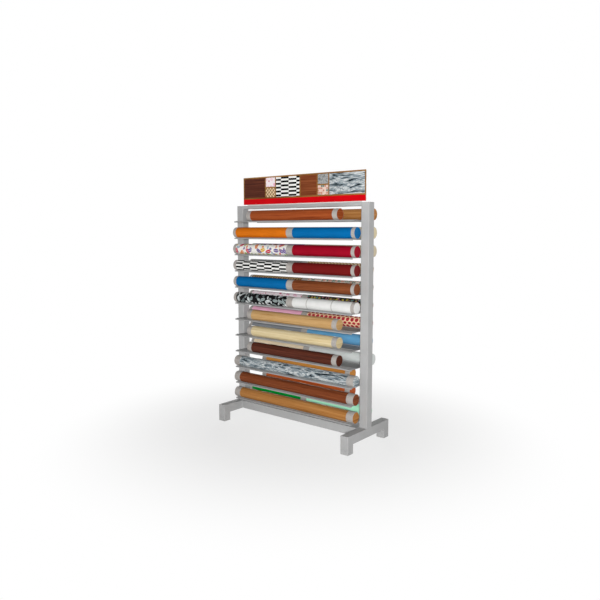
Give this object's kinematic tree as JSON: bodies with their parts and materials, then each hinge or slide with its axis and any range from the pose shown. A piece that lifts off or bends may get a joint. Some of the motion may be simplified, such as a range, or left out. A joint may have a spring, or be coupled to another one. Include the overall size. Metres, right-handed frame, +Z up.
{
  "type": "roll display stand",
  "caption": "Free-standing double-sided shop stand: grey square-tube posts on bridge feet carry sheet trays of decorative film rolls, under a lift-out header board.",
  "frame": {"origin": "on the floor, midway between the two posts and midway between the front and rear legs", "axes": "+X along the rolls to the right as seen from the front, -Y towards the front, +Z up"},
  "size_m": [1.09, 0.454, 1.672],
  "materials": {
    "frame_paint": "satin silver-grey powder coat",
    "tray_paint": "satin mid-grey powder coat",
    "grey_plastic": "moulded, fine grain",
    "white_plastic": "moulded, satin",
    "header_print": "printed board, satin laminate",
    "zinc_steel": "bright zinc plate",
    "film_mahogany": "printed vinyl film, satin gloss",
    "film_orange": "printed vinyl film, satin gloss",
    "film_blue": "printed vinyl film, satin gloss",
    "film_white_print": "printed vinyl film, satin gloss",
    "film_crimson": "printed vinyl film, satin gloss",
    "film_bar_check": "printed vinyl film, satin gloss",
    "film_dark_red": "printed vinyl film, satin gloss",
    "film_brown_oak": "printed vinyl film, satin gloss",
    "film_leaf_print": "printed vinyl film, satin gloss",
    "film_white_tile": "printed vinyl film, satin gloss",
    "film_tan_beech": "printed vinyl film, satin gloss",
    "film_cream_maple": "printed vinyl film, satin gloss",
    "film_wenge": "printed vinyl film, satin gloss",
    "film_grey_marble": "printed vinyl film, satin gloss",
    "film_red_walnut": "printed vinyl film, satin gloss",
    "film_light_cherry": "printed vinyl film, satin gloss",
    "film_caramel_oak": "printed vinyl film, satin gloss",
    "film_cream": "printed vinyl film, satin gloss",
    "film_purple": "printed vinyl film, satin gloss",
    "film_beige": "printed vinyl film, satin gloss",
    "film_grey_stone": "printed vinyl film, satin gloss",
    "film_cane_weave": "printed vinyl film, satin gloss",
    "film_wicker": "printed vinyl film, satin gloss",
    "film_mosaic": "printed vinyl film, satin gloss",
    "film_rose_print": "printed vinyl film, satin gloss",
    "film_dark_speckle": "printed vinyl film, satin gloss",
    "film_pink": "printed vinyl film, satin gloss",
    "film_red_lattice": "printed vinyl film, satin gloss",
    "film_slate": "printed vinyl film, satin gloss",
    "film_sky": "printed vinyl film, satin gloss",
    "film_ivory": "printed vinyl film, satin gloss",
    "film_pearl": "printed vinyl film, satin gloss",
    "film_amber_pine": "printed vinyl film, satin gloss",
    "film_orange_alder": "printed vinyl film, satin gloss",
    "film_green": "printed vinyl film, satin gloss",
    "film_mint": "printed vinyl film, satin gloss"
  },
  "bodies": {
    "stand": {"left_post": "frame_paint", "right_post": "frame_paint", "post_caps": "grey_plastic", "left_foot": "frame_paint", "right_foot": "frame_paint", "foot_glides": "grey_plastic", "bottom_beam": "frame_paint", "top_beam": "frame_paint", "header_rail": "white_plastic", "frame_screws": "zinc_steel", "tray_01": "tray_paint", "tray_02": "tray_paint", "tray_03": "tray_paint", "tray_04": "tray_paint", "tray_05": "tray_paint", "tray_06": "tray_paint", "tray_07": "tray_paint", "tray_08": "tray_paint", "tray_09": "tray_paint", "tray_10": "tray_paint", "tray_11": "tray_paint", "tray_12": "tray_paint"},
    "header": {"header_board": "header_print"},
    "front_roll_01": {"front_roll_01": "film_mahogany"},
    "front_roll_02_left": {"front_roll_02_left": "film_orange"},
    "front_roll_02_right": {"front_roll_02_right": "film_blue"},
    "front_roll_03_left": {"front_roll_03_left": "film_white_print"},
    "front_roll_03_right": {"front_roll_03_right": "film_crimson"},
    "front_roll_04_left": {"front_roll_04_left": "film_bar_check"},
    "front_roll_04_right": {"front_roll_04_right": "film_dark_red"},
    "front_roll_05_left": {"front_roll_05_left": "film_blue"},
    "front_roll_05_right": {"front_roll_05_right": "film_brown_oak"},
    "front_roll_06_left": {"front_roll_06_left": "film_leaf_print"},
    "front_roll_06_right": {"front_roll_06_right": "film_white_tile"},
    "front_roll_07": {"front_roll_07": "film_tan_beech"},
    "front_roll_08": {"front_roll_08": "film_cream_maple"},
    "front_roll_09": {"front_roll_09": "film_wenge"},
    "front_roll_10": {"front_roll_10": "film_grey_marble"},
    "front_roll_11": {"front_roll_11": "film_red_walnut"},
    "front_roll_12": {"front_roll_12": "film_light_cherry"},
    "rear_roll_01": {"rear_roll_01": "film_caramel_oak"},
    "rear_roll_02": {"rear_roll_02": "film_cream"},
    "rear_roll_03_left": {"rear_roll_03_left": "film_purple"},
    "rear_roll_03_right": {"rear_roll_03_right": "film_beige"},
    "rear_roll_04_left": {"rear_roll_04_left": "film_grey_stone"},
    "rear_roll_04_right": {"rear_roll_04_right": "film_cane_weave"},
    "rear_roll_05_left": {"rear_roll_05_left": "film_wicker"},
    "rear_roll_05_right": {"rear_roll_05_right": "film_mosaic"},
    "rear_roll_06_left": {"rear_roll_06_left": "film_rose_print"},
    "rear_roll_06_right": {"rear_roll_06_right": "film_dark_speckle"},
    "rear_roll_07_left": {"rear_roll_07_left": "film_pink"},
    "rear_roll_07_right": {"rear_roll_07_right": "film_red_lattice"},
    "rear_roll_08_left": {"rear_roll_08_left": "film_slate"},
    "rear_roll_08_right": {"rear_roll_08_right": "film_sky"},
    "rear_roll_09_left": {"rear_roll_09_left": "film_ivory"},
    "rear_roll_09_right": {"rear_roll_09_right": "film_pearl"},
    "rear_roll_10": {"rear_roll_10": "film_amber_pine"},
    "rear_roll_11": {"rear_roll_11": "film_orange_alder"},
    "rear_roll_12_left": {"rear_roll_12_left": "film_green"},
    "rear_roll_12_right": {"rear_roll_12_right": "film_mint"}
  },
  "joints": [
    {"name": "header_lift", "type": "slide", "parent": "stand", "child": "header", "axis": [0, 0, 1], "range_m": [0, 0.06]},
    {"name": "front_roll_01_lift", "type": "slide", "parent": "stand", "child": "front_roll_01", "axis": [0, -0.9397, 0.342], "range_m": [0, 0.2]},
    {"name": "front_roll_02_left_lift", "type": "slide", "parent": "stand", "child": "front_roll_02_left", "axis": [0, -0.9397, 0.342], "range_m": [0, 0.2]},
    {"name": "front_roll_02_right_lift", "type": "slide", "parent": "stand", "child": "front_roll_02_right", "axis": [0, -0.9397, 0.342], "range_m": [0, 0.2]},
    {"name": "front_roll_03_left_lift", "type": "slide", "parent": "stand", "child": "front_roll_03_left", "axis": [0, -0.9397, 0.342], "range_m": [0, 0.2]},
    {"name": "front_roll_03_right_lift", "type": "slide", "parent": "stand", "child": "front_roll_03_right", "axis": [0, -0.9397, 0.342], "range_m": [0, 0.2]},
    {"name": "front_roll_04_left_lift", "type": "slide", "parent": "stand", "child": "front_roll_04_left", "axis": [0, -0.9397, 0.342], "range_m": [0, 0.2]},
    {"name": "front_roll_04_right_lift", "type": "slide", "parent": "stand", "child": "front_roll_04_right", "axis": [0, -0.9397, 0.342], "range_m": [0, 0.2]},
    {"name": "front_roll_05_left_lift", "type": "slide", "parent": "stand", "child": "front_roll_05_left", "axis": [0, -0.9397, 0.342], "range_m": [0, 0.2]},
    {"name": "front_roll_05_right_lift", "type": "slide", "parent": "stand", "child": "front_roll_05_right", "axis": [0, -0.9397, 0.342], "range_m": [0, 0.2]},
    {"name": "front_roll_06_left_lift", "type": "slide", "parent": "stand", "child": "front_roll_06_left", "axis": [0, -0.9397, 0.342], "range_m": [0, 0.2]},
    {"name": "front_roll_06_right_lift", "type": "slide", "parent": "stand", "child": "front_roll_06_right", "axis": [0, -0.9397, 0.342], "range_m": [0, 0.2]},
    {"name": "front_roll_07_lift", "type": "slide", "parent": "stand", "child": "front_roll_07", "axis": [0, -0.9397, 0.342], "range_m": [0, 0.2]},
    {"name": "front_roll_08_lift", "type": "slide", "parent": "stand", "child": "front_roll_08", "axis": [0, -0.9397, 0.342], "range_m": [0, 0.2]},
    {"name": "front_roll_09_lift", "type": "slide", "parent": "stand", "child": "front_roll_09", "axis": [0, -0.9397, 0.342], "range_m": [0, 0.2]},
    {"name": "front_roll_10_lift", "type": "slide", "parent": "stand", "child": "front_roll_10", "axis": [0, -0.9397, 0.342], "range_m": [0, 0.2]},
    {"name": "front_roll_11_lift", "type": "slide", "parent": "stand", "child": "front_roll_11", "axis": [0, -0.9397, 0.342], "range_m": [0, 0.2]},
    {"name": "front_roll_12_lift", "type": "slide", "parent": "stand", "child": "front_roll_12", "axis": [0, -0.9397, 0.342], "range_m": [0, 0.2]},
    {"name": "rear_roll_01_lift", "type": "slide", "parent": "stand", "child": "rear_roll_01", "axis": [0, 0.9397, 0.342], "range_m": [0, 0.2]},
    {"name": "rear_roll_02_lift", "type": "slide", "parent": "stand", "child": "rear_roll_02", "axis": [0, 0.9397, 0.342], "range_m": [0, 0.2]},
    {"name": "rear_roll_03_left_lift", "type": "slide", "parent": "stand", "child": "rear_roll_03_left", "axis": [0, 0.9397, 0.342], "range_m": [0, 0.2]},
    {"name": "rear_roll_03_right_lift", "type": "slide", "parent": "stand", "child": "rear_roll_03_right", "axis": [0, 0.9397, 0.342], "range_m": [0, 0.2]},
    {"name": "rear_roll_04_left_lift", "type": "slide", "parent": "stand", "child": "rear_roll_04_left", "axis": [0, 0.9397, 0.342], "range_m": [0, 0.2]},
    {"name": "rear_roll_04_right_lift", "type": "slide", "parent": "stand", "child": "rear_roll_04_right", "axis": [0, 0.9397, 0.342], "range_m": [0, 0.2]},
    {"name": "rear_roll_05_left_lift", "type": "slide", "parent": "stand", "child": "rear_roll_05_left", "axis": [0, 0.9397, 0.342], "range_m": [0, 0.2]},
    {"name": "rear_roll_05_right_lift", "type": "slide", "parent": "stand", "child": "rear_roll_05_right", "axis": [0, 0.9397, 0.342], "range_m": [0, 0.2]},
    {"name": "rear_roll_06_left_lift", "type": "slide", "parent": "stand", "child": "rear_roll_06_left", "axis": [0, 0.9397, 0.342], "range_m": [0, 0.2]},
    {"name": "rear_roll_06_right_lift", "type": "slide", "parent": "stand", "child": "rear_roll_06_right", "axis": [0, 0.9397, 0.342], "range_m": [0, 0.2]},
    {"name": "rear_roll_07_left_lift", "type": "slide", "parent": "stand", "child": "rear_roll_07_left", "axis": [0, 0.9397, 0.342], "range_m": [0, 0.2]},
    {"name": "rear_roll_07_right_lift", "type": "slide", "parent": "stand", "child": "rear_roll_07_right", "axis": [0, 0.9397, 0.342], "range_m": [0, 0.2]},
    {"name": "rear_roll_08_left_lift", "type": "slide", "parent": "stand", "child": "rear_roll_08_left", "axis": [0, 0.9397, 0.342], "range_m": [0, 0.2]},
    {"name": "rear_roll_08_right_lift", "type": "slide", "parent": "stand", "child": "rear_roll_08_right", "axis": [0, 0.9397, 0.342], "range_m": [0, 0.2]},
    {"name": "rear_roll_09_left_lift", "type": "slide", "parent": "stand", "child": "rear_roll_09_left", "axis": [0, 0.9397, 0.342], "range_m": [0, 0.2]},
    {"name": "rear_roll_09_right_lift", "type": "slide", "parent": "stand", "child": "rear_roll_09_right", "axis": [0, 0.9397, 0.342], "range_m": [0, 0.2]},
    {"name": "rear_roll_10_lift", "type": "slide", "parent": "stand", "child": "rear_roll_10", "axis": [0, 0.9397, 0.342], "range_m": [0, 0.2]},
    {"name": "rear_roll_11_lift", "type": "slide", "parent": "stand", "child": "rear_roll_11", "axis": [0, 0.9397, 0.342], "range_m": [0, 0.2]},
    {"name": "rear_roll_12_left_lift", "type": "slide", "parent": "stand", "child": "rear_roll_12_left", "axis": [0, 0.9397, 0.342], "range_m": [0, 0.2]},
    {"name": "rear_roll_12_right_lift", "type": "slide", "parent": "stand", "child": "rear_roll_12_right", "axis": [0, 0.9397, 0.342], "range_m": [0, 0.2]}
  ]
}
